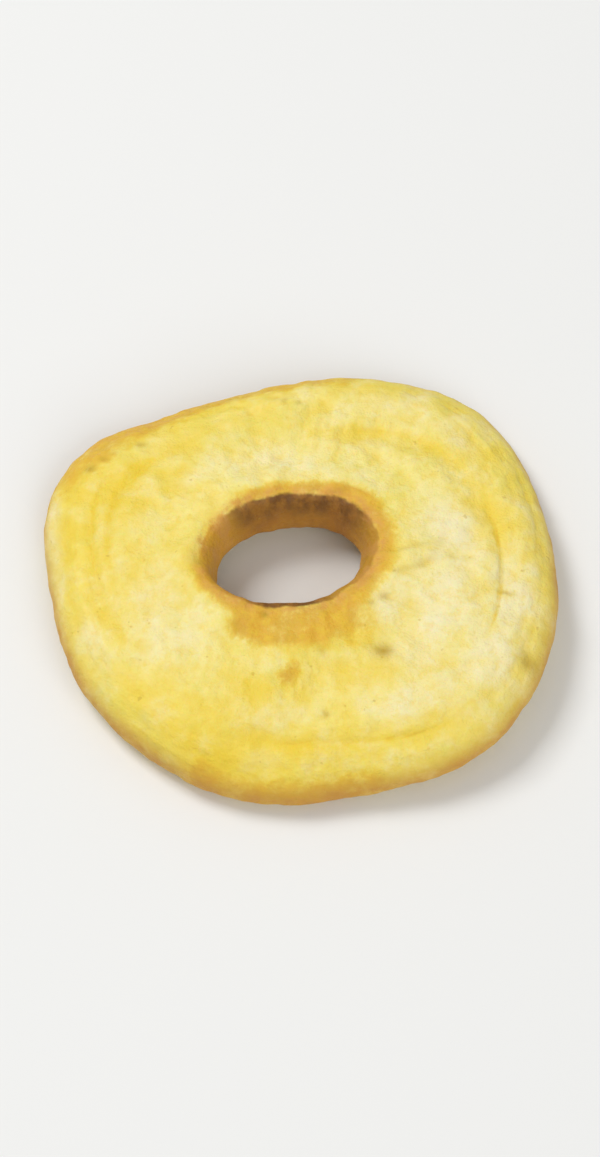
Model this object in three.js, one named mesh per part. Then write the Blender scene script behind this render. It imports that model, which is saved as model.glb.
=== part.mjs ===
// A dried apple ring: a peeled and cored slice of apple, shrunk and wrinkled by drying, lying on a table.
// Millimetres, +Z up. The origin is on the table, under the middle of the ring's bounding box.
// +X runs along the ring's longer side, and -Y is the side that faces the viewer.
import * as THREE from "three";
import { ParametricGeometry } from "three/addons/geometries/ParametricGeometry.js";
import { mergeVertices } from "three/addons/utils/BufferGeometryUtils.js";

// Plan of the ring. A wave goes count times round the ring, adds its height at each crest, and has a
// crest at the angle peak, in degrees from +X towards +Y. The core hole lies off the ring's middle.
const RIM = {
  radius: 26.43,
  slant: 0.7,
  waves: [
    { count: 2, height: 1.19, peak: -1 },
    { count: 3, height: 0.84, peak: 46 },
    { count: 4, height: 0.97, peak: -33 },
    { count: 5, height: 0.12, peak: 11 },
    { count: 6, height: 0.18, peak: 29 },
    { count: 7, height: 0.26, peak: -2 },
  ],
};
const CORE = {
  radius: 6.53,
  slant: 0.9,
  centre: [-1.86, 1.27],
  waves: [
    { count: 2, height: 1.37, peak: 12 },
    { count: 3, height: 0.06, peak: 58 },
    { count: 4, height: 0.18, peak: 23 },
  ],
};

// Section of the ring. A place is a share of the band, from 0 at the core hole to 1 at the rim. The
// thickness passes from one value to the next over the two runs of places, and its waves raise the
// top alone. The rim's lift leaves three low places, level with each other, that carry the ring.
const THICKNESS = {
  lip: 7.4,
  middle: 6.2,
  shoulder: 7.0,
  lipRun: [0.02, 0.42],
  shoulderRun: [0.45, 0.82],
  waves: [
    { count: 1, height: 0.35, peak: 250 },
    { count: 3, height: 0.2, peak: 100 },
  ],
};
const DOME = { rise: 2.5, fullness: 1.5 };
const RIM_LIFT = [
  { count: 1, height: 0.556, peak: -32.7 },
  { count: 2, height: 0.35, peak: 160 },
  { count: 3, height: 0.6, peak: 90 },
];
const SETTLED = 0.35;
const LIP_SQUARENESS = 0.42;
const RIM_SQUARENESS = 0.8;

// Relief of the two cut faces. Heights and depths are millimetres, widths along the band are shares
// of it, and widths round the ring are millimetres.
const RIM_SWELL = { place: 0.86, width: 0.1, height: 0.35 };
const CORE_DISH = { place: 0.3, width: 0.14, depth: 0.35 };
const LUMPS = [
  { count: 3, height: 0.22, peak: 25, across: 1 },
  { count: 5, height: 0.16, peak: 61, across: 2 },
  { count: 8, height: 0.1, peak: 12, across: 3 },
];
const RIM_VALLEYS = [
  { from: -26, to: 84, place: 0.8, drift: -0.3, width: 0.07, depth: 0.5 },
  { from: 246, to: 318, place: 0.77, drift: 0.1, width: 0.055, depth: 0.42 },
  { from: 146, to: 196, place: 0.75, drift: 0, width: 0.055, depth: 0.45 },
  { from: 134, to: 182, place: 0.62, drift: 0.03, width: 0.055, depth: 0.38 },
];
const VALLEY_ENDS = 0.25;
const DIPS = [
  { angle: 266, place: 0.12, along: 0.1, round: 4.2, depth: 0.32 },
  { angle: 312, place: 0.32, along: 0.09, round: 1.8, depth: 0.3 },
  { angle: 280, place: 0.52, along: 0.07, round: 1.6, depth: 0.26 },
  { angle: 198, place: 0.66, along: 0.07, round: 1.8, depth: 0.28 },
  { angle: 95, place: 0.4, along: 0.09, round: 2.2, depth: 0.24 },
];
const CREASES = [
  { start: 0.12, count: 23, reach: 0.2, spread: 0.16, depth: 0.3, width: 0.8 },
  { start: 0.45, count: 9, reach: 0.28, spread: 0.2, depth: 0.28, width: 1.0 },
  { start: 0.9, count: 19, reach: 0.16, spread: 0.14, depth: 0.24, width: 1.2 },
];
const CREASE_JITTER = 0.8;
const CREASE_LEAN = 0.5;
const FAINTEST_CREASE = 0.35;
const UNDERSIDE_TURNED = 147;
const FACE_BLEND = 0.8;

// Seeds of the draws that spread the creases, one for each face and a step between their groups, and
// the usual factors of a sine hash.
const TOP_SEED = 11;
const UNDERSIDE_SEED = 51;
const SEED_STEP = 10;
const HASH = { number: 12.9898, seed: 78.233, scale: 43758.5453 };

// The section's own size, for spacing the stations round it, and the fineness of the surface.
const NOMINAL_BAND = 18;
const NOMINAL_HEIGHT = 7;
const STEPS_ROUND = 132;
const STEPS_SECTION = 44;
const APPLE_FLESH = 0xeed774;

const radians = THREE.MathUtils.degToRad;
const degrees = THREE.MathUtils.radToDeg;
const { smoothstep, lerp } = THREE.MathUtils;

// The sum of a list of waves at an angle round the ring, in radians.
function waveSum(waves, turn) {
  return waves.reduce(
    (sum, wave) => sum + wave.height * Math.cos(wave.count * (turn - radians(wave.peak))),
    0,
  );
}

function bell(distance, width) {
  return Math.exp(-((distance / width) ** 2));
}

function signedPower(value, exponent) {
  return Math.sign(value) * Math.abs(value) ** exponent;
}

// The distance round the ring, at a radius, between two angles in radians.
function distanceRound(turn, angle, radius) {
  return Math.atan2(Math.sin(turn - angle), Math.cos(turn - angle)) * radius;
}

// A repeatable draw from 0 to 1 for a crease's number.
function draw(number, seed) {
  const mixed = Math.sin(number * HASH.number + seed * HASH.seed) * HASH.scale;
  return mixed - Math.floor(mixed);
}

// A point of the section's closed outline, and the direction in which the surface faces there. The
// height runs from -1 on the underside to 1 on top. The hole's lip is squarer than the rim.
function sectionPoint(angle) {
  const squareness = Math.cos(angle) > 0 ? LIP_SQUARENESS : RIM_SQUARENESS;
  return {
    band: 0.5 - 0.5 * signedPower(Math.cos(angle), squareness),
    height: signedPower(Math.sin(angle), squareness),
    inward: signedPower(Math.cos(angle), 2 - squareness) / NOMINAL_BAND,
    upward: signedPower(Math.sin(angle), 2 - squareness) / NOMINAL_HEIGHT,
  };
}

class SectionCurve extends THREE.Curve {
  getPoint(t, target = new THREE.Vector3()) {
    const { band, height } = sectionPoint(2 * Math.PI * t);
    return target.set(band * NOMINAL_BAND, (height * NOMINAL_HEIGHT) / 2, 0);
  }
}

// Stations round the section, evenly spaced along its outline.
function sectionStations() {
  const curve = new SectionCurve();
  curve.arcLengthDivisions = 4000;
  return Array.from({ length: STEPS_SECTION }, (_, i) => {
    const station = sectionPoint(2 * Math.PI * curve.getUtoTmapping(i / STEPS_SECTION));
    const length = Math.hypot(station.inward, station.upward);
    return { ...station, inward: station.inward / length, upward: station.upward / length };
  });
}

// Narrow creases that run across the band, spread unevenly round the ring. Each is deepest at the
// rule's start and fades over its own reach.
function creaseDepth(rule, turn, band, radius, seed) {
  let depth = 0;
  for (let i = 0; i < rule.count; i++) {
    const shifted = i + CREASE_JITTER * (draw(i, seed) - 0.5);
    const lean = CREASE_LEAN * (draw(i, seed + 1) - 0.5);
    const reach = rule.reach + rule.spread * (draw(i, seed + 2) - 0.5);
    const strength = lerp(FAINTEST_CREASE, 1, draw(i, seed + 3));
    const angle = (2 * Math.PI * shifted) / rule.count + lean * (band - rule.start);
    const apart = distanceRound(turn, angle, radius);
    depth += rule.depth * strength * bell(apart, rule.width) * bell(band - rule.start, reach);
  }
  return depth;
}

// A valley that follows the rim and fades out at both of its ends.
function valleyDepth(valley, turn, band) {
  const beyond = THREE.MathUtils.euclideanModulo(degrees(turn) - valley.from, 360);
  const along = beyond / (valley.to - valley.from);
  if (along > 1) return 0;
  const ends = smoothstep(along, 0, VALLEY_ENDS) * (1 - smoothstep(along, 1 - VALLEY_ENDS, 1));
  const place = valley.place + valley.drift * smoothstep(along, 0, 1);
  return valley.depth * ends * bell(band - place, valley.width);
}

function dipDepth(dip, turn, band, radius) {
  const apart = distanceRound(turn, radians(dip.angle), radius);
  return dip.depth * bell(apart, dip.round) * bell(band - dip.place, dip.along);
}

// Height of the relief on a cut face.
function faceRelief(turn, band, radius, seed) {
  let height = RIM_SWELL.height * bell(band - RIM_SWELL.place, RIM_SWELL.width);
  height -= CORE_DISH.depth * bell(band - CORE_DISH.place, CORE_DISH.width);
  for (const { count, height: rise, peak, across } of LUMPS) {
    height += rise * Math.cos(count * (turn - radians(peak))) * Math.sin(across * Math.PI * band);
  }
  for (const valley of RIM_VALLEYS) height -= valleyDepth(valley, turn, band);
  for (const dip of DIPS) height -= dipDepth(dip, turn, band, radius);
  CREASES.forEach((rule, i) => {
    height -= creaseDepth(rule, turn, band, radius, seed + SEED_STEP * i);
  });
  return height;
}

// The relief where the surface stands at a height of the section: the underside has the top's
// forms, turned round the ring, with creases of its own.
function reliefAt(turn, band, height, radius) {
  const topShare = smoothstep(height, -FACE_BLEND, FACE_BLEND);
  const below = turn + radians(UNDERSIDE_TURNED);
  return lerp(
    faceRelief(below, band, radius, UNDERSIDE_SEED),
    faceRelief(turn, band, radius, TOP_SEED),
    topShare,
  );
}

function thicknessAt(band) {
  const inner = smoothstep(band, ...THICKNESS.lipRun);
  const outer = smoothstep(band, ...THICKNESS.shoulderRun);
  const toMiddle = lerp(THICKNESS.lip, THICKNESS.middle, inner);
  return toMiddle + (THICKNESS.shoulder - THICKNESS.middle) * outer;
}

// A point of the surface at an angle round the ring and a station of the section.
function surfacePoint(turn, station, target) {
  const { band, height, inward, upward } = station;
  const outX = Math.cos(turn);
  const outY = Math.sin(turn);
  const core = CORE.radius + waveSum(CORE.waves, turn) + CORE.slant * height * (1 - band);
  const rim = RIM.radius + waveSum(RIM.waves, turn) - RIM.slant * height * band;
  const x = lerp(CORE.centre[0] + core * outX, rim * outX, band);
  const y = lerp(CORE.centre[1] + core * outY, rim * outY, band);
  const relief = reliefAt(turn, band, height, lerp(core, rim, band));
  const towardsRim = band ** DOME.fullness;
  const middle = lerp(DOME.rise, waveSum(RIM_LIFT, turn), towardsRim);
  const thickening = (waveSum(THICKNESS.waves, turn) * (1 + height)) / 2;
  const z = middle + (height * thicknessAt(band)) / 2 + thickening + upward * relief;
  return target.set(x - inward * relief * outX, y - inward * relief * outY, z);
}

// The ring as one closed surface, sunk a little so that its lowest places lie flat on the table.
function ringGeometry() {
  const stations = sectionStations();
  const place = (u, v, target) => {
    const station = stations[Math.round(u * STEPS_SECTION) % STEPS_SECTION];
    const turn = (2 * Math.PI * (Math.round(v * STEPS_ROUND) % STEPS_ROUND)) / STEPS_ROUND;
    surfacePoint(turn, station, target);
  };
  const grid = new ParametricGeometry(place, STEPS_SECTION, STEPS_ROUND);
  grid.deleteAttribute("uv");
  grid.deleteAttribute("normal");
  const geometry = mergeVertices(grid, 1e-4);
  geometry.computeBoundingBox();
  const { min, max } = geometry.boundingBox;
  geometry.translate(-(min.x + max.x) / 2, -(min.y + max.y) / 2, -min.z - SETTLED);
  const position = geometry.getAttribute("position");
  for (let i = 0; i < position.count; i++) position.setZ(i, Math.max(0, position.getZ(i)));
  geometry.computeVertexNormals();
  return geometry;
}

const flesh = new THREE.MeshStandardMaterial({
  color: APPLE_FLESH,
  roughness: 0.6,
  metalness: 0,
});
const ring = new THREE.Mesh(ringGeometry(), flesh);
ring.name = "apple_ring";

const driedAppleRing = new THREE.Group();
driedAppleRing.add(ring);

export default driedAppleRing;
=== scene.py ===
"""A dried apple ring on a plain pale floor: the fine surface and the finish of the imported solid."""

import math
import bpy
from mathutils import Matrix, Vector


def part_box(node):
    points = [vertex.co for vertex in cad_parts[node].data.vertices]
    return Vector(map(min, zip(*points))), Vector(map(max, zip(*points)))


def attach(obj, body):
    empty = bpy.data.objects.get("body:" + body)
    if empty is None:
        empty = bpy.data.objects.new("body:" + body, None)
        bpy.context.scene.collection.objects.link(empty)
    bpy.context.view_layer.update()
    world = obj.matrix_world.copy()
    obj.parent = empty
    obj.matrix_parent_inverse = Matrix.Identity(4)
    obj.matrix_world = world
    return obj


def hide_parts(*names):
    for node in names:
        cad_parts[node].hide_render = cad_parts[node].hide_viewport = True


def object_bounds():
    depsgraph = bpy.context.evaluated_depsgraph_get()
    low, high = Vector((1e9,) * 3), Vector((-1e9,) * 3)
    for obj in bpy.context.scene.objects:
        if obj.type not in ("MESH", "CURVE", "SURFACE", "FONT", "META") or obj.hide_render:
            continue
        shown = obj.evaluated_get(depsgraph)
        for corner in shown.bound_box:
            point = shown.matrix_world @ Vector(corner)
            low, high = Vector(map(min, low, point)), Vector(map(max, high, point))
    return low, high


bl_info = {
    "name": "Dried Apple Ring",
    "version": (1, 0, 0),
    "blender": (4, 5, 0),
    "location": "3D View > Sidebar > Apple Ring",
    "description": "Models one dried apple ring and the plain stage that it lies on",
    "category": "Add Mesh",
}

from typing import NamedTuple

import bmesh
import bpy
import numpy as np
from mathutils import Matrix, Vector, noise

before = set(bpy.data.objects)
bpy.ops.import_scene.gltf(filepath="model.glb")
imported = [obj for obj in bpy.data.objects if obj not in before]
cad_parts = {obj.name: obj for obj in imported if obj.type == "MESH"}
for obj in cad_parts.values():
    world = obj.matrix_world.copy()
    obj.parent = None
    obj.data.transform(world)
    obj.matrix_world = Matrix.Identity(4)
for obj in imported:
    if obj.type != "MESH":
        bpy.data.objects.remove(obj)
CAD_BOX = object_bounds()

RING_NODE = "apple_ring"
RING_BODY = "root"
MM = 0.001
FULL_TURN = 2 * math.pi
IMAGE_WIDTH, IMAGE_HEIGHT = 600, 1157

# The stage, in metres; each light faces the middle of the floor.
FLOOR_SIDES = 96
FLOOR_ROUGHNESS = 0.7
KEY_WIDTH, KEY_PLACE = 0.35, (-0.42, 0.3, 0.7)
FILL_WIDTH, FILL_PLACE = 0.6, (0.35, -0.6, 0.55)
NEAREST_SEEN = 0.01


class Wave(NamedTuple):
    """Goes count times round the ring, with a crest of its height at the angle peak, in degrees."""

    count: int
    height: float
    peak: float


class Lump(NamedTuple):
    """A wave round the ring that also goes across the band in half waves."""

    count: int
    height: float
    peak: float
    across: int


class Arc(NamedTuple):
    """Runs round the ring from one angle to another; its place in the band drifts on the way."""

    start: float
    end: float
    place: float
    drift: float
    width: float
    amount: float


class Spot(NamedTuple):
    """A soft spot; along is its width as a share of the band, and round its width in millimetres."""

    angle: float
    place: float
    along: float
    round: float
    amount: float


class Creases(NamedTuple):
    """Narrow creases across the band, deepest at the share of it where they start."""

    start: float
    count: int
    reach: float
    spread: float
    depth: float
    width: float


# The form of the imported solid, in millimetres, degrees and shares of the band from hole to rim.
RIM_RADIUS = 26.43
RIM_SLANT = 0.7
RIM_WAVES = (
    Wave(2, 1.19, -1),
    Wave(3, 0.84, 46),
    Wave(4, 0.97, -33),
    Wave(5, 0.12, 11),
    Wave(6, 0.18, 29),
    Wave(7, 0.26, -2),
)
CORE_RADIUS = 6.53
CORE_SLANT = 0.9
CORE_CENTRE = (-1.86, 1.27)
CORE_WAVES = (Wave(2, 1.37, 12), Wave(3, 0.06, 58), Wave(4, 0.18, 23))
LIP_THICKNESS = 7.4
MIDDLE_THICKNESS = 6.2
SHOULDER_THICKNESS = 7.0
LIP_RUN = (0.02, 0.42)
SHOULDER_RUN = (0.45, 0.82)
THICKNESS_WAVES = (Wave(1, 0.35, 250), Wave(3, 0.2, 100))
DOME_RISE = 2.5
DOME_FULLNESS = 1.5
RIM_LIFT = (Wave(1, 0.556, -32.7), Wave(2, 0.35, 160), Wave(3, 0.6, 90))
SETTLED = 0.35
LIP_SQUARENESS = 0.42
RIM_SQUARENESS = 0.8
NOMINAL_BAND = 18
NOMINAL_HEIGHT = 7
SECTION_SAMPLES = 4001
STEP_PARTS = 8
SWELL_PLACE, SWELL_WIDTH, SWELL_HEIGHT = 0.86, 0.1, 0.35
DISH_PLACE, DISH_WIDTH, DISH_DEPTH = 0.3, 0.14, 0.35
LUMPS = (Lump(3, 0.22, 25, 1), Lump(5, 0.16, 61, 2), Lump(8, 0.1, 12, 3))
VALLEYS = (
    Arc(-26, 84, 0.8, -0.3, 0.07, 0.5),
    Arc(246, 318, 0.77, 0.1, 0.055, 0.42),
    Arc(146, 196, 0.75, 0.0, 0.055, 0.45),
    Arc(134, 182, 0.62, 0.03, 0.055, 0.38),
)
ARC_ENDS = 0.25
DIPS = (
    Spot(266, 0.12, 0.1, 4.2, 0.32),
    Spot(312, 0.32, 0.09, 1.8, 0.3),
    Spot(280, 0.52, 0.07, 1.6, 0.26),
    Spot(198, 0.66, 0.07, 1.8, 0.28),
    Spot(95, 0.4, 0.09, 2.2, 0.24),
)
MAIN_CREASES = (
    Creases(0.12, 23, 0.2, 0.16, 0.3, 0.8),
    Creases(0.45, 9, 0.28, 0.2, 0.28, 1.0),
    Creases(0.9, 19, 0.16, 0.14, 0.24, 1.2),
)
CREASE_JITTER = 0.8
CREASE_LEAN = 0.5
FAINTEST_CREASE = 0.35
UNDERSIDE_TURNED = 147
FACE_BLEND = 0.8
TOP_SEED, UNDERSIDE_SEED, SEED_STEP = 11, 51, 10
HASH_NUMBER, HASH_SEED, HASH_SCALE = 12.9898, 78.233, 43758.5453

# What only this script adds: fine creases, thin folds, streaks, marks over the core's veins, and pits.
FINE_CREASES = (
    Creases(0.2, 37, 0.15, 0.2, 0.06, 0.5),
    Creases(0.46, 83, 0.2, 0.2, 0.04, 0.4),
    Creases(0.95, 97, 0.14, 0.1, 0.05, 0.45),
)
FINE_SEED = 200
FOLDS = (
    Arc(-32, 28, 0.74, -0.03, 0.014, 0.2),
    Arc(22, 94, 0.67, -0.17, 0.02, 0.08),
    Arc(252, 316, 0.785, 0.085, 0.013, 0.18),
    Arc(148, 192, 0.745, 0.0, 0.014, 0.16),
    Arc(136, 180, 0.62, 0.03, 0.014, 0.14),
)
FOLD_TINT = 2.5
# Shallow creases whose olive tint is a painted shadow along them.
STREAKS = (
    Arc(357.5, 367, 0.13, 0.17, 0.05, 0.1),
    Arc(344, 361, 0.17, 0.2, 0.04, 0.1),
    Arc(352, 374, 0.3, 0.13, 0.035, 0.07),
)
STREAK_SHADOW_TINT = 2.2
VEINS = 10
VEIN_JITTER = 0.4
VEIN_PLACE = 0.4
VEIN_SCATTER = 0.12
VEIN_WIDTH = 0.5
VEIN_LENGTH = 0.04
VEIN_DEPTH = 0.16
VEIN_SEED = 320
PITS = (
    Spot(251.5, 0.085, 0.02, 0.35, 0.9),
    Spot(309, 0.4, 0.045, 1.0, 1.0),
    Spot(304, 0.34, 0.025, 0.5, 0.2),
    Spot(186, 0.075, 0.05, 1.6, 0.4),
    Spot(284, 0.31, 0.035, 0.5, 0.4),
    Spot(330.5, 0.19, 0.02, 0.5, 0.6),
    Spot(323, 0.17, 0.015, 0.35, 0.5),
    Spot(334, 0.955, 0.045, 0.9, 0.8),
    Spot(278.5, 0.67, 0.02, 0.4, 0.6),
    Spot(95.5, 0.79, 0.018, 0.35, 0.6),
    Spot(91, 0.76, 0.015, 0.3, 0.5),
    Spot(350, 0.765, 0.05, 0.3, 0.5),
    Spot(190, 0.03, 0.02, 0.5, 0.6),
    Spot(152, 0.855, 0.03, 0.5, 0.8),
    Spot(139.5, 0.77, 0.03, 0.4, 0.7),
    Spot(148.5, 0.825, 0.025, 0.35, 0.6),
)
PIT_DEPTH = 0.16

# The texture of the flesh, in millimetres; sizes are two round the ring and one across the band.
GRAIN_RADIUS = 14
RAY_SIZE = (1.6, 1.6, 6)
RING_SIZE = (7, 7, 1.1)
RAY_CRINKLE_SIZE = (2.4, 2.4, 6)
RING_CRINKLE_SIZE = (6, 6, 2)
RAY_CRINKLE_SHARE = 0.6
CRINKLE_WIDTH = 0.1
CRINKLE_PATCHES = 1.7
CRINKLE_FADE = (-0.1, 0.3)
RAY_TO_RING_RUN = (0.45, 0.85)
RAY_RUN = (0.05, 0.6)
CRINKLE_RUN = (0.05, 0.5)
PATCH_SHIFT, DIMPLE_SHIFT, PEBBLE_SHIFT = 60, 40, 80
STEEP_LOSS = 0.6
TEXTURE_RISE = 0.24
NOISE_DECAY, NOISE_RATIO, NOISE_LAYERS = 1.0, 2.0, 2

# Where the flesh has browned, yellowed or stayed pale, as in the photograph; golden flesh on the hole's
# side walls is painted lighter as if lit, and a few marks below are painted light or shade.
UNDERSIDE_FADE = (-1, -0.4)
DEEPEST_AMBER = 1.3
# Depth of the fine relief at which the painted shade in its hollows is full.
DEEPEST_HOLLOW = 0.3
AMBER_ARCS = (
    Arc(224, 330, 0.12, 0.03, 0.14, 1.1),
    Arc(240, 300, 0.24, 0.0, 0.035, 0.45),
    Arc(-64, 70, 0.07, 0.01, 0.07, 1.2),
    Arc(26, 146, 0.07, 0.0, 0.055, 1.0),
    Arc(186, 250, 0.05, 0.03, 0.06, 1.1),
    Arc(124, 200, 0.03, 0.0, 0.04, 0.4),
    # Amber along the far rim's very edge.
    Arc(68, 148, 0.95, 0.0, 0.07, 0.95),
    # At the very edge of the front rim: browned skin side with painted shade.
    Arc(234, 296, 1.0, 0.0, 0.05, 0.9),
)
AMBER_SPOTS = (
    Spot(240, 0.2, 0.06, 1.3, 0.8),
    Spot(247, 0.12, 0.05, 0.5, 0.5),
    Spot(266, 0.445, 0.06, 1.3, 1.1),
    Spot(270, 0.385, 0.04, 0.7, 0.6),
    Spot(11.5, 0.8, 0.03, 0.7, 0.5),
    Spot(136, 0.885, 0.05, 0.8, 0.6),
    # A wide amber spot on the rim's edge at the upper left.
    Spot(143, 0.96, 0.13, 7.5, 1.0),
    Spot(147, 0.83, 0.06, 2.6, 0.45),
    Spot(198, 0.67, 0.04, 1.0, 0.4),
    Spot(244, 0.92, 0.05, 1.4, 0.35),
)
# Golden flesh on the hole's left and right walls, painted lighter as if lit.
GOLDEN_LIT_WALL_ARCS = (
    Arc(130, 250, 0.0, 0.0, 0.2, 0.9),
    Arc(290, 400, 0.0, 0.0, 0.2, 0.6),
)
YELLOW_ARCS = (
    Arc(-8, 92, 0.75, -0.25, 0.055, 0.6),
    Arc(240, 324, 0.79, 0.09, 0.045, 0.65),
    Arc(140, 205, 0.74, 0.0, 0.045, 0.6),
    Arc(122, 196, 0.63, 0.02, 0.04, 0.7),
    Arc(205, 262, 0.84, 0.1, 0.06, 0.6),
    Arc(154, 200, 0.85, 0.08, 0.03, 0.5),
)
YELLOW_SPOTS = (
    Spot(180, 0.42, 0.25, 6.0, 0.4),
    Spot(125, 0.7, 0.2, 6.0, 0.45),
    Spot(156, 0.55, 0.13, 3.2, 0.8),
    Spot(202, 0.6, 0.06, 2.2, 0.4),
    Spot(258, 0.3, 0.06, 2.4, 0.5),
    Spot(260, 0.56, 0.14, 5.0, 0.5),
    Spot(42, 0.55, 0.08, 3.0, 0.2),
    Spot(246, 0.91, 0.06, 2.4, 0.9),
    Spot(163, 0.74, 0.06, 2.2, 0.3),
    Spot(205, 0.71, 0.05, 2.0, 0.6),
    Spot(300, 0.27, 0.06, 3.0, 0.6),
    Spot(194, 0.1, 0.05, 1.8, 0.5),
    Spot(272, 0.84, 0.05, 3.0, 0.6),
    Spot(85, 0.55, 0.08, 3.0, 0.4),
    Spot(252, 0.5, 0.07, 3.4, 0.45),
    Spot(296, 0.48, 0.11, 3.2, 0.75),
    Spot(252, 0.7, 0.09, 3.8, 0.55),
    Spot(148, 0.66, 0.06, 2.4, 0.5),
)
PALE_SPOTS = (
    Spot(354, 0.42, 0.2, 6.5, 0.75),
    Spot(328, 0.48, 0.17, 5.5, 0.8),
    Spot(322, 0.74, 0.09, 4.5, 0.6),
    Spot(208, 0.42, 0.16, 5.0, 0.85),
    Spot(222, 0.6, 0.1, 4.0, 0.3),
    Spot(92, 0.3, 0.16, 6.0, 0.8),
    Spot(62, 0.76, 0.09, 6.0, 0.5),
    Spot(44, 0.76, 0.06, 2.5, 0.6),
    Spot(14, 0.5, 0.14, 4.5, 0.9),
    Spot(350, 0.78, 0.1, 4.0, 1.0),
    Spot(317, 0.52, 0.07, 2.2, 0.5),
    Spot(136, 0.38, 0.07, 2.4, 0.5),
    Spot(204, 0.88, 0.08, 4.0, 0.7),
    # Painted highlight: a pale band along the left rim's edge, where the light falls.
    Spot(172, 0.97, 0.05, 7.0, 0.65),
    Spot(170, 0.66, 0.05, 3.0, 0.5),
    Spot(342, 0.85, 0.12, 9.0, 0.6),
    Spot(122, 0.4, 0.1, 4.0, 0.5),
    Spot(328, 0.84, 0.08, 3.0, 0.7),
    Spot(303, 0.72, 0.09, 3.5, 0.9),
    Spot(326, 0.23, 0.07, 2.6, 1.0),
    Spot(196, 0.3, 0.08, 3.0, 0.5),
)

# The patterns of the finish: their sizes in metres, and how some are stretched or mirrored.
BROAD_SIZE = 0.008
CLOUD_SIZE = 0.0032
TINT_SIZE = 0.0045
SPECKLE_SIZE = 0.0011
FINE_SIZE = 0.0003
MOTTLE_SIZE = 0.0015
SPECK_SIZE = 0.0009
RAY_LINE_SIZE = 0.0012
RING_LINE_SIZE = 0.0011
RAY_STRETCH = (1, 1, 0.2)
RING_STRETCH = (0.12, 0.12, 1)
WALL_STRETCH = (1, 1, 0.5)
MIRRORED = (1, 1, -1)

# How far the lip's edge wanders, how roughness varies, how far each colour of light gets, and the gloss.
RAGGED_LIP = 0.14
SMOOTHER, ROUGHER = 0.07, 0.1
LIGHT_REACH = (1.0, 0.62, 0.22)
GLOSS = 0.4

# The colour sockets of a Mix node, which share their names with its other sockets.
MIX_SHARE, MIX_FIRST, MIX_SECOND, MIX_RESULT = 0, 6, 7, 2


def wave_sum(waves, turn):
    total = np.zeros_like(turn)
    for wave in waves:
        total += wave.height * np.cos(wave.count * (turn - math.radians(wave.peak)))
    return total


def bell(distance, width):
    return np.exp(-((distance / width) ** 2))


def signed_power(value, exponent):
    return np.sign(value) * np.abs(value) ** exponent


def lerp(low, high, share):
    return low + (high - low) * share


def smoothstep(value, low, high):
    share = np.clip((value - low) / (high - low), 0, 1)
    return share * share * (3 - 2 * share)


def distance_round(turn, angle, radius):
    """The distance round the ring, at a radius, between two angles in radians."""
    return np.arctan2(np.sin(turn - angle), np.cos(turn - angle)) * radius


def draw(number, seed):
    """A repeatable draw from 0 to 1."""
    mixed = math.sin(number * HASH_NUMBER + seed * HASH_SEED) * HASH_SCALE
    return mixed - math.floor(mixed)


def section(angle):
    """Band, height, and how far the surface faces inwards and upwards, at an angle of the section."""
    squareness = np.where(np.cos(angle) > 0, LIP_SQUARENESS, RIM_SQUARENESS)
    band = 0.5 - 0.5 * signed_power(np.cos(angle), squareness)
    height = signed_power(np.sin(angle), squareness)
    inward = signed_power(np.cos(angle), 2 - squareness) / NOMINAL_BAND
    upward = signed_power(np.sin(angle), 2 - squareness) / NOMINAL_HEIGHT
    length = np.hypot(inward, upward)
    return band, height, inward / length, upward / length


def evenly_spaced(share):
    """The section's angle at a share of the way round its outline."""
    angles = np.linspace(0, FULL_TURN, SECTION_SAMPLES)
    band, height, _, _ = section(angles)
    steps = np.hypot(np.diff(band) * NOMINAL_BAND, np.diff(height) * NOMINAL_HEIGHT / 2)
    travelled = np.concatenate(([0], np.cumsum(steps)))
    return np.interp(share, travelled / travelled[-1], angles)


def crease_depth(rule, turn, band, radius, seed):
    depth = np.zeros_like(turn)
    for i in range(rule.count):
        shifted = i + CREASE_JITTER * (draw(i, seed) - 0.5)
        lean = CREASE_LEAN * (draw(i, seed + 1) - 0.5)
        reach = rule.reach + rule.spread * (draw(i, seed + 2) - 0.5)
        strength = lerp(FAINTEST_CREASE, 1, draw(i, seed + 3))
        angle = FULL_TURN * shifted / rule.count + lean * (band - rule.start)
        apart = distance_round(turn, angle, radius)
        depth += rule.depth * strength * bell(apart, rule.width) * bell(band - rule.start, reach)
    return depth


def arc_amount(arc, turn, band):
    along = np.mod(np.degrees(turn) - arc.start, 360) / (arc.end - arc.start)
    ends = smoothstep(along, 0, ARC_ENDS) * (1 - smoothstep(along, 1 - ARC_ENDS, 1))
    place = arc.place + arc.drift * smoothstep(along, 0, 1)
    return arc.amount * ends * bell(band - place, arc.width)


def spot_amount(spot, turn, band, radius):
    apart = distance_round(turn, math.radians(spot.angle), radius)
    return spot.amount * bell(apart, spot.round) * bell(band - spot.place, spot.along)


def arcs_amount(arcs, turn, band):
    return sum(arc_amount(arc, turn, band) for arc in arcs)


def spots_amount(spots, turn, band, radius):
    return sum(spot_amount(spot, turn, band, radius) for spot in spots)


def vein_depth(turn, band, radius, seed):
    """Ten small slits in a circle round the core, where the apple's veins run through the slice."""
    depth = np.zeros_like(turn)
    for i in range(VEINS):
        angle = FULL_TURN * (i + VEIN_JITTER * draw(i, seed)) / VEINS
        place = VEIN_PLACE + VEIN_SCATTER * (draw(i, seed + 1) - 0.5)
        apart = distance_round(turn, angle, radius)
        strength = lerp(FAINTEST_CREASE, 1, draw(i, seed + 2))
        depth += VEIN_DEPTH * strength * bell(apart, VEIN_WIDTH) * bell(band - place, VEIN_LENGTH)
    return depth


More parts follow.
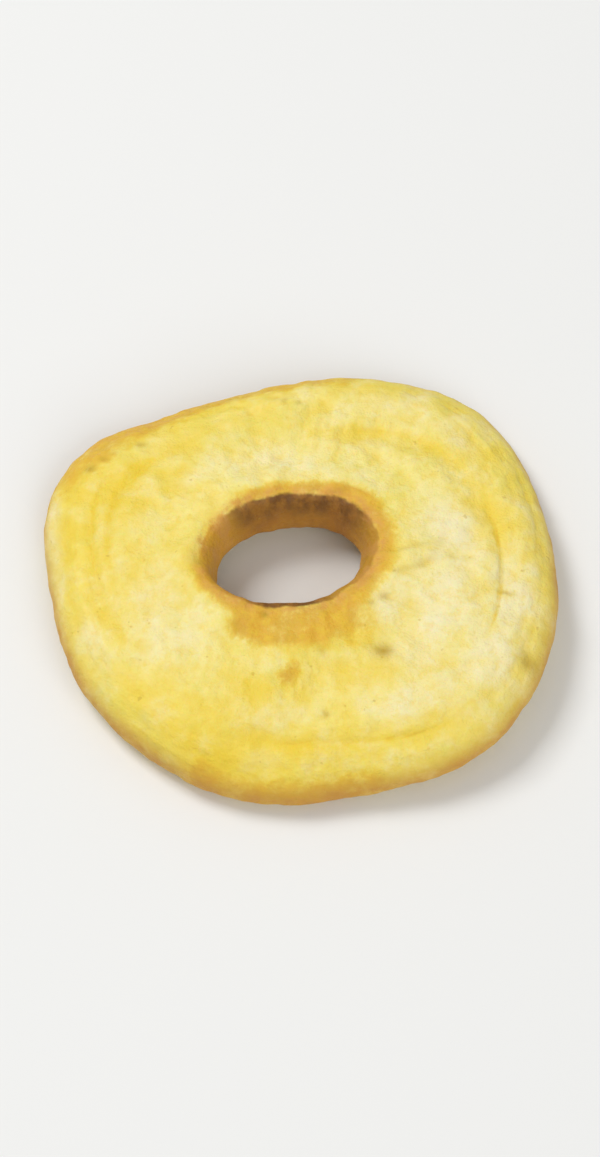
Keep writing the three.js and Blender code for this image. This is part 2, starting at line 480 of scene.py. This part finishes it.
def main_relief(turn, band, radius, seed):
    """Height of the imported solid's own relief on a cut face."""
    height = SWELL_HEIGHT * bell(band - SWELL_PLACE, SWELL_WIDTH)
    height = height - DISH_DEPTH * bell(band - DISH_PLACE, DISH_WIDTH)
    for lump in LUMPS:
        rise = lump.height * np.cos(lump.count * (turn - math.radians(lump.peak)))
        height += rise * np.sin(lump.across * math.pi * band)
    for valley in VALLEYS:
        height -= arc_amount(valley, turn, band)
    for dip in DIPS:
        height -= spot_amount(dip, turn, band, radius)
    for i, rule in enumerate(MAIN_CREASES):
        height -= crease_depth(rule, turn, band, radius, seed + SEED_STEP * i)
    return height


def fine_relief(turn, band, radius, seed):
    """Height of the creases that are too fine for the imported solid."""
    height = -vein_depth(turn, band, radius, seed + VEIN_SEED)
    for fold in FOLDS + STREAKS:
        height -= arc_amount(fold, turn, band)
    for i, rule in enumerate(FINE_CREASES):
        height -= crease_depth(rule, turn, band, radius, seed + FINE_SEED + SEED_STEP * i)
    return height


def both_faces(relief, turn, band, height, radius):
    """A relief on both faces; the underside has the top's forms turned, with creases of its own."""
    top_share = smoothstep(height, -FACE_BLEND, FACE_BLEND)
    below = turn + math.radians(UNDERSIDE_TURNED)
    return lerp(
        relief(below, band, radius, UNDERSIDE_SEED),
        relief(turn, band, radius, TOP_SEED),
        top_share,
    )


def noise_over(points, size):
    """Smooth noise round zero over points in millimetres; size is one length or one for each axis."""
    scaled = points / np.array(size)
    return np.array([noise.fractal(Vector(p), NOISE_DECAY, NOISE_RATIO, NOISE_LAYERS) for p in scaled])


def crinkle(points, size):
    """Thin meandering creases that come and go, from 0 to 1, over points in millimetres."""
    lines = bell(noise_over(points, size), CRINKLE_WIDTH)
    patches = noise_over(points + PATCH_SHIFT, np.array(size) * CRINKLE_PATCHES)
    return lines * smoothstep(patches, *CRINKLE_FADE)


def plain_torus(sides, steps):
    """A bmesh torus: a circle in the XZ plane, spun round Z and joined to itself, then cut finer."""
    reach, tube = RIM_RADIUS * MM, NOMINAL_HEIGHT * MM / 2
    bm = bmesh.new()
    bmesh.ops.create_circle(bm, segments=sides, radius=tube)
    bmesh.ops.rotate(bm, verts=bm.verts, matrix=Matrix.Rotation(math.pi / 2, 3, "X"))
    bmesh.ops.translate(bm, verts=bm.verts, vec=(reach, 0, 0))
    bmesh.ops.spin(
        bm,
        geom=bm.verts[:] + bm.edges[:],
        axis=(0, 0, 1),
        angle=FULL_TURN,
        steps=steps // STEP_PARTS,
        use_merge=True,
    )
    side_length = FULL_TURN * tube / sides
    lengthwise = [edge for edge in bm.edges if edge.calc_length() > 2 * side_length]
    bmesh.ops.subdivide_edges(bm, edges=lengthwise, cuts=STEP_PARTS - 1)
    bmesh.ops.recalc_face_normals(bm, faces=bm.faces)
    return bm


def torus_angles(points):
    """The turn and the section's share at each vertex of the plain torus."""
    turn = np.arctan2(points[:, 1], points[:, 0])
    out = RIM_RADIUS * MM - np.hypot(points[:, 0], points[:, 1])
    share = np.mod(np.arctan2(points[:, 2], out) / FULL_TURN, 1)
    return turn, share


def smooth_form(turn, out, band, height):
    """The points of the ring without its relief, in millimetres, and their radius."""
    core = CORE_RADIUS + wave_sum(CORE_WAVES, turn) + CORE_SLANT * height * (1 - band)
    rim = RIM_RADIUS + wave_sum(RIM_WAVES, turn) - RIM_SLANT * height * band
    plan = lerp(np.array(CORE_CENTRE)[:, None] + core * out, rim * out, band)
    middle = lerp(DOME_RISE, wave_sum(RIM_LIFT, turn), band**DOME_FULLNESS)
    thickness = lerp(LIP_THICKNESS, MIDDLE_THICKNESS, smoothstep(band, *LIP_RUN))
    thickness += (SHOULDER_THICKNESS - MIDDLE_THICKNESS) * smoothstep(band, *SHOULDER_RUN)
    thickening = wave_sum(THICKNESS_WAVES, turn) * (1 + height) / 2
    level = middle + height * thickness / 2 + thickening
    return np.stack((plan[0], plan[1], level), axis=1), lerp(core, rim, band)


def flesh_texture(points, grain, band, inward, form):
    """Height of the flesh's own texture: rays near the hole, rings near the rim, crinkles and bumps."""
    towards_rim = smoothstep(band, *RAY_TO_RING_RUN)
    rays = noise_over(grain, RAY_SIZE) * (1 - towards_rim) * smoothstep(band, *RAY_RUN)
    rings = noise_over(grain, RING_SIZE) * towards_rim
    texture = (rays + rings) * form.streak_depth / MM
    ray_crinkles = RAY_CRINKLE_SHARE * crinkle(grain, RAY_CRINKLE_SIZE)
    crinkles = lerp(ray_crinkles, crinkle(grain, RING_CRINKLE_SIZE), towards_rim)
    texture -= crinkles * smoothstep(band, *CRINKLE_RUN) * form.crinkle_depth / MM
    texture += noise_over(points, form.pillow_size / MM) * form.pillow_depth / MM
    texture += noise_over(points + DIMPLE_SHIFT, form.dimple_size / MM) * form.dimple_depth / MM
    texture += noise_over(points + PEBBLE_SHIFT, form.pebble_size / MM) * form.pebble_depth / MM
    texture *= 1 - STEEP_LOSS * inward**2
    return np.where(texture > 0, TEXTURE_RISE * np.tanh(texture / TEXTURE_RISE), texture)


def stain_values(turn, band, height, radius):
    """How far the flesh is browned, yellow or pale, how far the hole's walls are golden and painted
    lighter as if lit, and the painted shadow along the streaks, kept as olive; the brown spots are on top
    alone.
    """
    amber = arcs_amount(AMBER_ARCS, turn, band)
    amber += spots_amount(AMBER_SPOTS, turn, band, radius) * smoothstep(height, *UNDERSIDE_FADE)
    amber += FOLD_TINT * arcs_amount(FOLDS, turn, band)
    yellow = arcs_amount(YELLOW_ARCS, turn, band) + spots_amount(YELLOW_SPOTS, turn, band, radius)
    return {
        # Painted shadow along the shallow streak creases.
        "olive": np.clip(STREAK_SHADOW_TINT * arcs_amount(STREAKS, turn, band), 0, 1),
        "amber": np.clip(amber, 0, DEEPEST_AMBER),
        "yellow": np.clip(yellow, 0, 1),
        "pale": np.clip(spots_amount(PALE_SPOTS, turn, band, radius), 0, 1),
        "golden": np.clip(arcs_amount(GOLDEN_LIT_WALL_ARCS, turn, band), 0, 1),
    }


def shape_ring(points, form):
    """Where each vertex of the plain torus goes, in millimetres, and the values that colour it."""
    turn, share = torus_angles(points)
    band, height, inward, upward = section(evenly_spaced(share))
    out = np.stack((np.cos(turn), np.sin(turn)))
    placed, radius = smooth_form(turn, out, band, height)
    across = NOMINAL_BAND * band + NOMINAL_HEIGHT * (1 - height) / 2
    grain = np.stack((*(GRAIN_RADIUS * out), across), axis=1)

    creases = both_faces(fine_relief, turn, band, height, radius) * form.crease_depth
    pits = spots_amount(PITS, turn, band, radius) * (height > 0)
    texture = flesh_texture(placed, grain, band, inward, form)
    main = both_faces(main_relief, turn, band, height, radius)
    relief = main + creases + texture - pits * PIT_DEPTH
    placed[:, :2] -= (inward * relief * out).T
    placed[:, 2] += upward * relief

    values = {
        "band": band,
        "height": height,
        "wall": np.clip(inward, 0, 1),
        "side": np.clip(-inward, 0, 1),
        # Painted shade: how deep each point lies in the fine creases and texture.
        "painted_hollow_shade": np.clip(-(creases + texture) / DEEPEST_HOLLOW, 0, 1),
        **stain_values(turn, band, height, radius),
        "pit": np.clip(pits, 0, 1),
        "grain": grain * MM,
    }
    return placed, values


def settle(placed):
    """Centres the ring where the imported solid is, and lays its low places flat on the floor."""
    low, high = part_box(RING_NODE)
    wanted = (np.array(low) + np.array(high)) / 2 / MM
    middle = (placed.min(0) + placed.max(0)) / 2
    placed[:, :2] += wanted[:2] - middle[:2]
    placed[:, 2] += low.z / MM - placed[:, 2].min() - SETTLED
    placed[:, 2] = np.maximum(placed[:, 2], low.z / MM)
    return placed


def add_values(mesh, values):
    """Keeps each list of values as a point attribute, for the material to read."""
    for name, data in values.items():
        kind, field = ("FLOAT", "value") if data.ndim == 1 else ("FLOAT_VECTOR", "vector")
        attribute = mesh.attributes.new(name, kind, "POINT")
        attribute.data.foreach_set(field, data.astype(np.float32).ravel())


def new_object(name, mesh):
    piece = bpy.data.objects.new(name, mesh)
    bpy.context.scene.collection.objects.link(piece)
    return piece


class NodeMaker:
    """Adds nodes to a material and joins them, so that a finish reads as a list of steps."""

    def __init__(self, name):
        self.material = bpy.data.materials.new(name)
        self.material.use_nodes = True
        self.nodes = self.material.node_tree.nodes
        self.links = self.material.node_tree.links
        self.shader = self.nodes["Principled BSDF"]

    def join(self, value, socket):
        """Links an output to a socket, or sets a plain value on it."""
        if isinstance(value, bpy.types.NodeSocket):
            self.links.new(value, socket)
        else:
            socket.default_value = value

    def attribute(self, name, output="Fac"):
        node = self.nodes.new("ShaderNodeAttribute")
        node.attribute_name = name
        return node.outputs[output]

    def object_coordinates(self):
        return self.nodes.new("ShaderNodeTexCoord").outputs["Object"]

    def scaled(self, place, scale):
        node = self.nodes.new("ShaderNodeMapping")
        self.join(place, node.inputs["Vector"])
        node.inputs["Scale"].default_value = scale
        return node.outputs["Vector"]

    def noise(self, place, size, detail=3.0, roughness=0.55, distortion=0.0):
        """Noise about as coarse as size, in metres."""
        node = self.nodes.new("ShaderNodeTexNoise")
        self.join(place, node.inputs["Vector"])
        node.inputs["Scale"].default_value = 1 / size
        node.inputs["Detail"].default_value = detail
        node.inputs["Roughness"].default_value = roughness
        node.inputs["Distortion"].default_value = distortion
        return node.outputs["Fac"]

    def maths(self, operation, *values):
        node = self.nodes.new("ShaderNodeMath")
        node.operation = operation
        for i, value in enumerate(values):
            self.join(value, node.inputs[i])
        return node.outputs[0]

    def remap(self, value, low, high, to_low=0.0, to_high=1.0):
        """Takes a value from one range to another, smoothly and without passing the ends."""
        node = self.nodes.new("ShaderNodeMapRange")
        node.interpolation_type = "SMOOTHSTEP"
        self.join(value, node.inputs["Value"])
        node.inputs["From Min"].default_value = low
        node.inputs["From Max"].default_value = high
        node.inputs["To Min"].default_value = to_low
        node.inputs["To Max"].default_value = to_high
        return node.outputs["Result"]

    def mix(self, share, first, second):
        """A colour between two, by a share from 0 to 1."""
        node = self.nodes.new("ShaderNodeMix")
        node.data_type = "RGBA"
        self.join(share, node.inputs[MIX_SHARE])
        self.join(first, node.inputs[MIX_FIRST])
        self.join(second, node.inputs[MIX_SECOND])
        return node.outputs[MIX_RESULT]

    def bump(self, height, distance, normal=None):
        """Bumps the surface by a height of up to distance, in metres."""
        node = self.nodes.new("ShaderNodeBump")
        self.join(height, node.inputs["Height"])
        node.inputs["Distance"].default_value = distance
        if normal is not None:
            self.join(normal, node.inputs["Normal"])
        return node.outputs["Normal"]


class Patterns(NamedTuple):
    """The patterns that the layers of the flesh's finish read."""

    rim_share: bpy.types.NodeSocket
    fibres: bpy.types.NodeSocket
    cloud: bpy.types.NodeSocket
    tint: bpy.types.NodeSocket
    speckle: bpy.types.NodeSocket
    ragged: bpy.types.NodeSocket
    mottle: bpy.types.NodeSocket
    specks: bpy.types.NodeSocket
    fine: bpy.types.NodeSocket


def flesh_patterns(make):
    """Blotches of several sizes, and fibres that run in rays near the hole and in rings near the rim."""
    place = make.object_coordinates()
    grain = make.attribute("grain", "Vector")
    band = make.attribute("band")
    wander = make.maths("MULTIPLY_ADD", make.noise(place, BROAD_SIZE), 0.5, -0.25)
    rim_share = make.remap(make.maths("ADD", band, wander), 0.55, 0.95)
    rays = make.noise(make.scaled(grain, RAY_STRETCH), RAY_LINE_SIZE)
    rings = make.noise(make.scaled(grain, RING_STRETCH), RING_LINE_SIZE)
    away_from_lip = make.remap(band, 0.1, 0.55, 0.1, 1.0)
    cloud = make.noise(place, CLOUD_SIZE, detail=6, roughness=0.62, distortion=0.15)
    speckle = make.noise(place, SPECKLE_SIZE, detail=5, roughness=0.6)
    ragged = make.maths("MULTIPLY_ADD", speckle, 2.0, -1.0)
    return Patterns(
        rim_share=rim_share,
        fibres=make.maths("MULTIPLY", make.mix(rim_share, rays, rings), away_from_lip),
        cloud=cloud,
        tint=make.noise(make.scaled(place, MIRRORED), TINT_SIZE, detail=4),
        speckle=speckle,
        ragged=make.maths("ADD", ragged, make.maths("MULTIPLY_ADD", cloud, 2.0, -1.0)),
        mottle=make.noise(make.scaled(place, WALL_STRETCH), MOTTLE_SIZE, detail=4, roughness=0.6),
        specks=make.noise(place, SPECK_SIZE, detail=1.5),
        fine=make.noise(place, FINE_SIZE),
    )


def face_colour(make, looks, patterns):
    """Cream on the face and yellow at the rim, with blotches, pale places, painted shade in the hollows
    as deeper yellow, and painted shadow along the streaks.
    """
    cloud = patterns.cloud
    colour = make.mix(patterns.rim_share, looks.face, looks.rim)
    colour = make.mix(make.remap(patterns.fibres, 0.45, 0.7, 0.0, 0.35), colour, looks.yellow)
    calm = make.remap(make.attribute("pale"), 0.0, 1.0, 0.62, 0.25)
    blotches = make.maths("MULTIPLY", make.remap(cloud, 0.48, 0.74), calm)
    colour = make.mix(blotches, colour, looks.yellow)
    colour = make.mix(make.remap(cloud, 0.54, 0.28, 0.0, 0.5), colour, looks.pale)
    colour = make.mix(make.remap(patterns.tint, 0.48, 0.66, 0.0, 0.4), colour, looks.olive)
    pale = make.maths("MULTIPLY", make.attribute("pale"), make.remap(cloud, 0.7, 0.36, 0.45, 1.0))
    colour = make.mix(pale, colour, looks.pale)
    yellow = make.maths("MULTIPLY", make.attribute("yellow"), make.remap(cloud, 0.3, 0.6, 0.45, 1.0))
    colour = make.mix(yellow, colour, looks.yellow)
    # Painted shade: deeper yellow in the hollows of the fine relief.
    colour = make.mix(make.maths("MULTIPLY", make.attribute("painted_hollow_shade"), calm), colour, looks.yellow)
    # Painted shadow along the streaks, in the pit colour.
    colour = make.mix(make.attribute("olive"), colour, looks.pit)
    return make.mix(make.remap(patterns.speckle, 0.52, 0.36, 0.0, 0.3), colour, looks.yellow)


def ragged_amber(make, patterns):
    """How far the flesh has browned, with the ragged edges of a stain."""
    amber = make.attribute("amber")
    return make.maths("MULTIPLY_ADD", patterns.ragged, make.remap(amber, 0.0, 0.5, 0.0, 0.9), amber)


def browned_colour(make, looks, patterns, colour, amber):
    """Amber flesh over the colour where it has browned, mottled with yellow and with brown."""
    browned = make.mix(make.remap(patterns.speckle, 0.36, 0.64, 0.0, 0.45), looks.amber, looks.yellow)
    browned = make.mix(make.remap(patterns.cloud, 0.56, 0.36, 0.0, 0.3), browned, looks.wall)
    colour = make.mix(make.remap(amber, 0.05, 0.55, 0.0, 0.6), colour, looks.yellow)
    return make.mix(make.remap(amber, 0.2, 1.15, 0.0, 0.92), colour, browned)


def hole_colour(make, looks, patterns, colour, amber):
    """The dry lip of the hole over the colour, and the wall: painted shade darkens it under the lip, and
    on its left and right it is golden, painted lighter as if lit.
    """
    cloud, mottle = patterns.cloud, patterns.mottle
    inward = make.maths("MULTIPLY_ADD", patterns.ragged, RAGGED_LIP, make.attribute("wall"))
    lip = make.maths("MULTIPLY", make.remap(inward, 0.2, 0.42), make.remap(mottle, 0.6, 0.36, 0.25, 0.9))
    lip = make.maths("MULTIPLY", lip, make.remap(amber, 0.0, 0.5, 0.3, 1.0))
    colour = make.mix(lip, colour, looks.lip)
    # Painted shade: the wall's colour darkens towards the top, under the lip, in mottled patches.
    shade = make.remap(make.attribute("height"), -0.5, 0.6, 0.15, 1.0)
    shade = make.maths("MULTIPLY", shade, make.remap(mottle, 0.36, 0.6, 0.5, 1.0))
    # The wall's colour is browned flesh, set darker as painted shade in the hole.
    wall = make.mix(make.remap(cloud, 0.35, 0.65, 0.0, 0.35), looks.wall, looks.amber)
    wall = make.mix(shade, wall, looks.under_lip_shade)
    # Painted light: the golden colour lightens the hole's left and right walls.
    golden = make.mix(make.remap(mottle, 0.36, 0.6), looks.lip, looks.amber)
    wall = make.mix(make.attribute("golden"), wall, golden)
    return make.mix(make.remap(inward, 0.5, 0.7, 0.0, 0.96), colour, wall)


def side_and_shade_colour(make, looks, patterns, colour):
    """The outer side over the colour, under the rim: browner flesh with painted shade that deepens
    towards the floor, fainter where the flesh has stayed pale.
    """
    # Painted shade: the side's colour grows towards the bottom of the ring.
    side = make.remap(make.attribute("height"), 0.65, -0.1)
    side = make.maths("MULTIPLY", side, make.remap(make.attribute("side"), 0.2, 1.0, 0.15, 0.95))
    side = make.maths("MULTIPLY", side, make.remap(patterns.cloud, 0.3, 0.65, 0.6, 1.0))
    side = make.maths("MULTIPLY", side, make.remap(make.attribute("pale"), 0.0, 1.0, 1.0, 0.3))
    return make.mix(side, colour, looks.side)


def speckled_colour(make, looks, patterns, colour):
    """Fine dark specks over the colour, and the small pits."""
    colour = make.mix(make.remap(patterns.specks, 0.7, 0.78, 0.0, 0.4), colour, looks.pit)
    return make.mix(make.maths("MULTIPLY", make.attribute("pit"), 0.9), colour, looks.pit)


def dried_flesh(looks):
    """The finish of the flesh: cream on the face, yellow at the rim and browned at the hole."""
    make = NodeMaker("dried_apple_flesh")
    patterns = flesh_patterns(make)
    amber = ragged_amber(make, patterns)
    colour = face_colour(make, looks, patterns)
    colour = browned_colour(make, looks, patterns, colour, amber)
    colour = hole_colour(make, looks, patterns, colour, amber)
    colour = side_and_shade_colour(make, looks, patterns, colour)
    colour = speckled_colour(make, looks, patterns, colour)
    make.join(colour, make.shader.inputs["Base Color"])

    smoothest, roughest = looks.roughness - SMOOTHER, looks.roughness + ROUGHER
    rough = make.remap(patterns.speckle, 0.3, 0.7, smoothest, roughest)
    make.join(rough, make.shader.inputs["Roughness"])
    normal = make.bump(patterns.speckle, looks.pebble_depth)
    normal = make.bump(patterns.fibres, looks.fibre_depth, normal)
    normal = make.bump(patterns.fine, looks.grain_depth, normal)
    make.join(normal, make.shader.inputs["Normal"])

    make.shader.inputs["Subsurface Weight"].default_value = looks.translucency
    make.shader.inputs["Subsurface Radius"].default_value = LIGHT_REACH
    make.shader.inputs["Subsurface Scale"].default_value = looks.light_depth
    make.shader.inputs["Specular IOR Level"].default_value = GLOSS
    return make.material


def plain_material(name, colour, roughness):
    make = NodeMaker(name)
    make.shader.inputs["Base Color"].default_value = colour
    make.shader.inputs["Roughness"].default_value = roughness
    return make.material


def screen_to_light(level):
    """The light that a screen's level from 0 to 255 stands for, by the sRGB curve."""
    share = level / 255
    return ((share + 0.055) / 1.055) ** 2.4 if share > 0.04045 else share / 12.92


def colour_property(name, description, red, green, blue):
    """A colour given as it looks on a screen, from 0 to 255, kept as the light it stands for."""
    light = [screen_to_light(level) for level in (red, green, blue)]
    return bpy.props.FloatVectorProperty(
        name=name,
        description=description,
        subtype="COLOR",
        size=4,
        min=0,
        max=1,
        default=(*light, 1),
    )


def length_property(name, description, millimetres):
    return bpy.props.FloatProperty(
        name=name, description=description, default=millimetres * MM, min=0, unit="LENGTH", precision=5
    )


def share_property(name, description, share, low=0, high=1):
    return bpy.props.FloatProperty(
        name=name, description=description, default=share, min=low, max=high, subtype="FACTOR"
    )


class RingForm(bpy.types.PropertyGroup):
    """The fineness of the ring's surface and the depth of its fine relief."""

    sides: bpy.props.IntProperty(
        name="Sides", description="Faces round the section", default=160, min=16, max=160
    )
    steps: bpy.props.IntProperty(
        name="Steps", description="Faces round the ring, a multiple of 8", default=600, min=32, max=600
    )
    crease_depth: share_property("Fine Creases", "Depth of the fine creases, as a share", 1.0, 0, 3)
    streak_depth: length_property("Streak Depth", "Depth of the streaks of the flesh", 0.1)
    crinkle_depth: length_property("Crinkle Depth", "Depth of the thin meandering creases", 0.17)
    pillow_size: length_property("Pillow Size", "Width of the soft swellings of the flesh", 6.5)
    pillow_depth: length_property("Pillow Depth", "Height of the soft swellings of the flesh", 0.3)
    dimple_size: length_property("Dimple Size", "Width of the small hollows of the flesh", 2.4)
    dimple_depth: length_property("Dimple Depth", "Depth of the small hollows of the flesh", 0.24)
    pebble_size: length_property("Pebble Size", "Width of the finest bumps in the mesh", 1.1)
    pebble_depth: length_property("Pebble Depth", "Height of the finest bumps in the mesh", 0.08)


class FleshLooks(bpy.types.PropertyGroup):
    """The colours and the finish of the dried flesh."""

    face: colour_property("Face", "Flesh of the cut face", 245, 229, 137)
    pale: colour_property("Pale", "Flesh that has stayed palest", 244, 233, 182)
    # Real yellow blotches; in the hollows this colour is painted shade.
    yellow: colour_property("Yellow", "Blotches, hollows and broad creases", 237, 207, 60)
    olive: colour_property("Olive", "Blotches with a green tint", 226, 214, 90)
    rim: colour_property("Rim", "Flesh near the rim", 243, 221, 100)
    # Browner flesh of the outer side, also standing for painted shade towards the floor.
    side: colour_property("Side", "Outer side, under the rim", 200, 144, 60)
    amber: colour_property("Amber", "Browned flesh at the hole, in thin folds and in spots", 222, 167, 44)
    lip: colour_property("Lip", "Dry edge of the core hole", 218, 162, 74)
    # Browned flesh of the hole's wall, set darker as painted shade; the face's browned mottles use it
    # too.
    wall: colour_property("Wall", "Wall of the core hole", 180, 122, 44)
    # Partly the wall's dark flesh, partly painted shade under the lip.
    under_lip_shade: colour_property("Streak", "Dark flesh in the wall, under the lip", 118, 74, 26)
    # Real pits and specks; the same colour paints the shadow along the streaks.
    pit: colour_property("Pit", "Small dark pits, specks and streaks", 190, 155, 38)
    roughness: share_property("Roughness", "Roughness of the skin", 0.58, 0.1, 0.9)
    translucency: share_property("Translucency", "Share of light that enters", 0.3)
    light_depth: length_property("Light Depth", "How far light travels in the flesh", 1.1)
    pebble_depth: length_property("Pebble Depth", "Depth of the fine pebbling", 0.28)
    fibre_depth: length_property("Fibre Depth", "Depth of the fine streaks of the flesh", 0.12)
    grain_depth: length_property("Grain Depth", "Depth of the finest grain", 0.06)


class StageSetup(bpy.types.PropertyGroup):
    """The floor, the light and the camera."""

    floor: colour_property("Floor", "Colour of the floor", 236, 236, 234)
    floor_radius: length_property("Floor Radius", "Radius of the floor", 900)
    key_power: bpy.props.FloatProperty(
        name="Key Light", description="Power of the large light", default=4.1, min=0, unit="POWER"
    )
    fill_power: bpy.props.FloatProperty(
        name="Fill Light", description="Power of the light at the front", default=2.8, min=0, unit="POWER"
    )
    sky: bpy.props.FloatProperty(
        name="Sky", description="Strength of the even light from all round", default=0.43, min=0
    )
    elevation: bpy.props.FloatProperty(
        name="Elevation",
        description="Angle of the camera above the floor",
        default=math.radians(62),
        subtype="ANGLE",
    )
    distance: length_property("Distance", "Distance from the camera to the ring", 600)
    filled: share_property("Filled", "Share of the picture's width that the ring fills", 0.86, 0.1)


class APPLE_OT_ring(bpy.types.Operator):
    """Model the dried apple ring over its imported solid"""

    bl_idname = "apple.ring"
    bl_label = "Dried Apple Ring"

    def execute(self, context):
        form = context.scene.apple_form
        bm = plain_torus(form.sides, form.steps)
        mesh = bpy.data.meshes.new("dried_apple_ring")
        bm.to_mesh(mesh)
        bm.free()
        if len(mesh.vertices) != form.sides * form.steps:
            raise RuntimeError("the spun ring isn't joined to itself: %d vertices" % len(mesh.vertices))
        points = np.empty(len(mesh.vertices) * 3, np.float32)
        mesh.vertices.foreach_get("co", points)
        placed, values = shape_ring(points.reshape(-1, 3).astype(float), form)
        mesh.vertices.foreach_set("co", (settle(placed) * MM).astype(np.float32).ravel())
        add_values(mesh, values)
        mesh.shade_smooth()
        mesh.materials.append(dried_flesh(context.scene.apple_looks))
        mesh.update()
        ring = new_object("dried_apple_ring", mesh)
        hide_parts(RING_NODE)
        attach(ring, RING_BODY)
        return {"FINISHED"}


class APPLE_OT_stage(bpy.types.Operator):
    """Lay the pale floor and set the soft lights and the camera"""

    bl_idname = "apple.stage"
    bl_label = "Stage"

    def execute(self, context):
        setup = context.scene.apple_stage
        self.lay_floor(setup)
        self.light_up(context, setup)
        self.place_camera(context, setup)
        context.scene.view_settings.view_transform = "Standard"
        return {"FINISHED"}

    def lay_floor(self, setup):
        bm = bmesh.new()
        bmesh.ops.create_circle(bm, cap_ends=True, segments=FLOOR_SIDES, radius=setup.floor_radius)
        mesh = bpy.data.meshes.new("floor")
        bm.to_mesh(mesh)
        bm.free()
        mesh.materials.append(plain_material("pale_floor", setup.floor, FLOOR_ROUGHNESS))
        new_object("floor", mesh)

    def light_up(self, context, setup):
        for name, power, width, place in (
            ("key_light", setup.key_power, KEY_WIDTH, KEY_PLACE),
            ("fill_light", setup.fill_power, FILL_WIDTH, FILL_PLACE),
        ):
            light = bpy.data.lights.new(name, "AREA")
            light.energy = power
            light.size = width
            lamp = new_object(name, light)
            lamp.location = place
            lamp.rotation_euler = (-Vector(place)).to_track_quat("-Z", "Y").to_euler()
        world = bpy.data.worlds.new("soft_sky")
        world.use_nodes = True
        world.node_tree.nodes["Background"].inputs["Color"].default_value = (1, 1, 1, 1)
        world.node_tree.nodes["Background"].inputs["Strength"].default_value = setup.sky
        context.scene.world = world

    def place_camera(self, context, setup):
        low, high = CAD_BOX
        middle = (low + high) / 2
        pictured = (high.x - low.x) / setup.filled * IMAGE_HEIGHT / IMAGE_WIDTH
        data = bpy.data.cameras.new("camera")
        data.lens = data.sensor_width * setup.distance / pictured
        data.clip_start = NEAREST_SEEN
        camera = new_object("camera", data)
        back = Vector((0, -math.cos(setup.elevation), math.sin(setup.elevation)))
        camera.location = middle + back * setup.distance
        camera.rotation_euler = (-back).to_track_quat("-Z", "Y").to_euler()
        context.scene.camera = camera


class APPLE_PT_panel(bpy.types.Panel):
    """Lists the pieces and their settings"""

    bl_idname = "APPLE_PT_panel"
    bl_label = "Dried Apple Ring"
    bl_space_type = "VIEW_3D"
    bl_region_type = "UI"
    bl_category = "Apple Ring"

    def draw(self, context):
        scene = context.scene
        for operator, settings in (
            (APPLE_OT_ring, (scene.apple_form, scene.apple_looks)),
            (APPLE_OT_stage, (scene.apple_stage,)),
        ):
            box = self.layout.box()
            box.operator(operator.bl_idname)
            for group in settings:
                for name in group.__annotations__:
                    box.prop(group, name)


CLASSES = (RingForm, FleshLooks, StageSetup, APPLE_OT_ring, APPLE_OT_stage, APPLE_PT_panel)
SETTINGS = {"apple_form": RingForm, "apple_looks": FleshLooks, "apple_stage": StageSetup}


def register():
    for cls in CLASSES:
        bpy.utils.register_class(cls)
    for name, group in SETTINGS.items():
        setattr(bpy.types.Scene, name, bpy.props.PointerProperty(type=group))


def unregister():
    for name in SETTINGS:
        delattr(bpy.types.Scene, name)
    for cls in reversed(CLASSES):
        bpy.utils.unregister_class(cls)


def main():
    register()
    bpy.ops.apple.ring()
    bpy.ops.apple.stage()
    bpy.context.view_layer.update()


if __name__ == "__main__":
    main()
